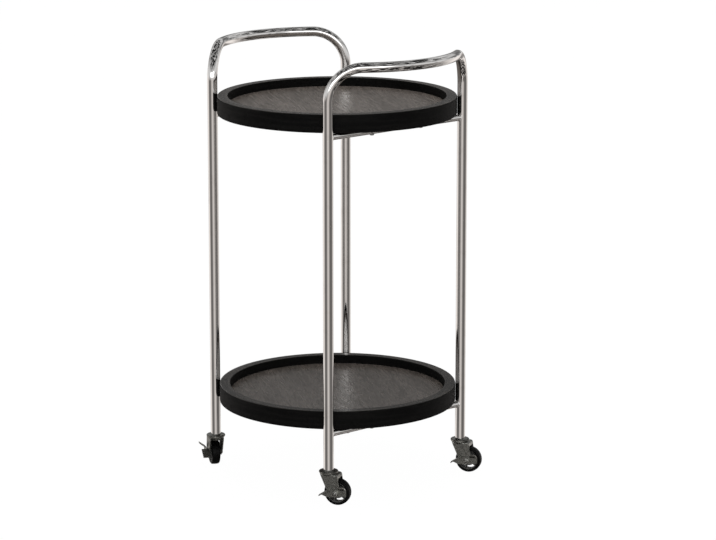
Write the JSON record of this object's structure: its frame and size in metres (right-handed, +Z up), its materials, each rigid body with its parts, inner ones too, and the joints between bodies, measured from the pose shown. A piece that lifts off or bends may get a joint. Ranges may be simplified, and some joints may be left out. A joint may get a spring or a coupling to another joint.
{
  "type": "rolling side table",
  "caption": "Rolling side table with round rimmed wooden trays between bent chrome tube frames, whose tops form bowed handles, on swivel casters with side brake levers.",
  "frame": {"origin": "on the floor under the middle of the table", "axes": "+Z up, +X towards the right handle, +Y towards the rear legs; the handles run along Y"},
  "size_m": [0.5026, 0.45, 0.823],
  "materials": {
    "chrome": "polished chrome plate on steel tube",
    "rim_wood": "black stain with a satin lacquer",
    "floor_wood": "black brown stained veneer with a satin lacquer",
    "zinc_plate": "stamped steel, zinc plated",
    "plated_steel": "plated steel",
    "ball_steel": "ground steel",
    "hub_plastic": "moulded grey plastic",
    "tyre_rubber": "black rubber",
    "socket_nylon": "natural nylon"
  },
  "bodies": {
    "root": {"right_frame": "chrome", "left_frame": "chrome", "right_upper_rail": "chrome", "right_lower_rail": "chrome", "left_upper_rail": "chrome", "left_lower_rail": "chrome", "upper_rim": "rim_wood", "upper_floor": "floor_wood", "lower_rim": "rim_wood", "lower_floor": "floor_wood", "tray_screws": "plated_steel", "leg_sockets": "socket_nylon", "caster_stems": "plated_steel", "caster_caps": "zinc_plate"},
    "front_right_fork": {"front_right_fork": "zinc_plate", "front_right_balls": "ball_steel", "front_right_sleeve": "plated_steel", "front_right_bolt": "plated_steel", "front_right_nut": "plated_steel"},
    "front_right_wheel": {"front_right_hub": "hub_plastic", "front_right_tyre": "tyre_rubber"},
    "front_right_brake": {"front_right_brake": "zinc_plate"},
    "rear_right_fork": {"rear_right_fork": "zinc_plate", "rear_right_balls": "ball_steel", "rear_right_sleeve": "plated_steel", "rear_right_bolt": "plated_steel", "rear_right_nut": "plated_steel"},
    "rear_right_wheel": {"rear_right_hub": "hub_plastic", "rear_right_tyre": "tyre_rubber"},
    "rear_right_brake": {"rear_right_brake": "zinc_plate"},
    "front_left_fork": {"front_left_fork": "zinc_plate", "front_left_balls": "ball_steel", "front_left_sleeve": "plated_steel", "front_left_bolt": "plated_steel", "front_left_nut": "plated_steel"},
    "front_left_wheel": {"front_left_hub": "hub_plastic", "front_left_tyre": "tyre_rubber"},
    "front_left_brake": {"front_left_brake": "zinc_plate"},
    "rear_left_fork": {"rear_left_fork": "zinc_plate", "rear_left_balls": "ball_steel", "rear_left_sleeve": "plated_steel", "rear_left_bolt": "plated_steel", "rear_left_nut": "plated_steel"},
    "rear_left_wheel": {"rear_left_hub": "hub_plastic", "rear_left_tyre": "tyre_rubber"},
    "rear_left_brake": {"rear_left_brake": "zinc_plate"}
  },
  "joints": [
    {"name": "front_right_swivel", "type": "hinge", "parent": "root", "child": "front_right_fork", "pos_m": [0.16603, -0.16603, 0.062], "axis": [0, 0, 1], "continuous": true},
    {"name": "front_right_spin", "type": "hinge", "parent": "front_right_fork", "child": "front_right_wheel", "pos_m": [0.18162, -0.15703, 0.025], "axis": [-0.5, 0.866, 0], "continuous": true},
    {"name": "front_right_brake_press", "type": "hinge", "parent": "front_right_fork", "child": "front_right_brake", "pos_m": [0.18162, -0.15703, 0.025], "axis": [-0.5, 0.866, 0], "range_deg": [0, 20]},
    {"name": "rear_right_swivel", "type": "hinge", "parent": "root", "child": "rear_right_fork", "pos_m": [0.16603, 0.16603, 0.062], "axis": [0, 0, 1], "continuous": true},
    {"name": "rear_right_spin", "type": "hinge", "parent": "rear_right_fork", "child": "rear_right_wheel", "pos_m": [0.18162, 0.17503, 0.025], "axis": [-0.5, 0.866, 0], "continuous": true},
    {"name": "rear_right_brake_press", "type": "hinge", "parent": "rear_right_fork", "child": "rear_right_brake", "pos_m": [0.18162, 0.17503, 0.025], "axis": [-0.5, 0.866, 0], "range_deg": [0, 20]},
    {"name": "front_left_swivel", "type": "hinge", "parent": "root", "child": "front_left_fork", "pos_m": [-0.16603, -0.16603, 0.062], "axis": [0, 0, 1], "continuous": true},
    {"name": "front_left_spin", "type": "hinge", "parent": "front_left_fork", "child": "front_left_wheel", "pos_m": [-0.18207, -0.15786, 0.025], "axis": [-0.454, -0.891, 0], "continuous": true},
    {"name": "front_left_brake_press", "type": "hinge", "parent": "front_left_fork", "child": "front_left_brake", "pos_m": [-0.18207, -0.15786, 0.025], "axis": [-0.454, -0.891, 0], "range_deg": [0, 20]},
    {"name": "rear_left_swivel", "type": "hinge", "parent": "root", "child": "rear_left_fork", "pos_m": [-0.16603, 0.16603, 0.062], "axis": [0, 0, 1], "continuous": true},
    {"name": "rear_left_spin", "type": "hinge", "parent": "rear_left_fork", "child": "rear_left_wheel", "pos_m": [-0.17982, 0.1776, 0.025], "axis": [-0.6428, -0.766, 0], "continuous": true},
    {"name": "rear_left_brake_press", "type": "hinge", "parent": "rear_left_fork", "child": "rear_left_brake", "pos_m": [-0.17982, 0.1776, 0.025], "axis": [-0.6428, -0.766, 0], "range_deg": [0, 20]}
  ]
}
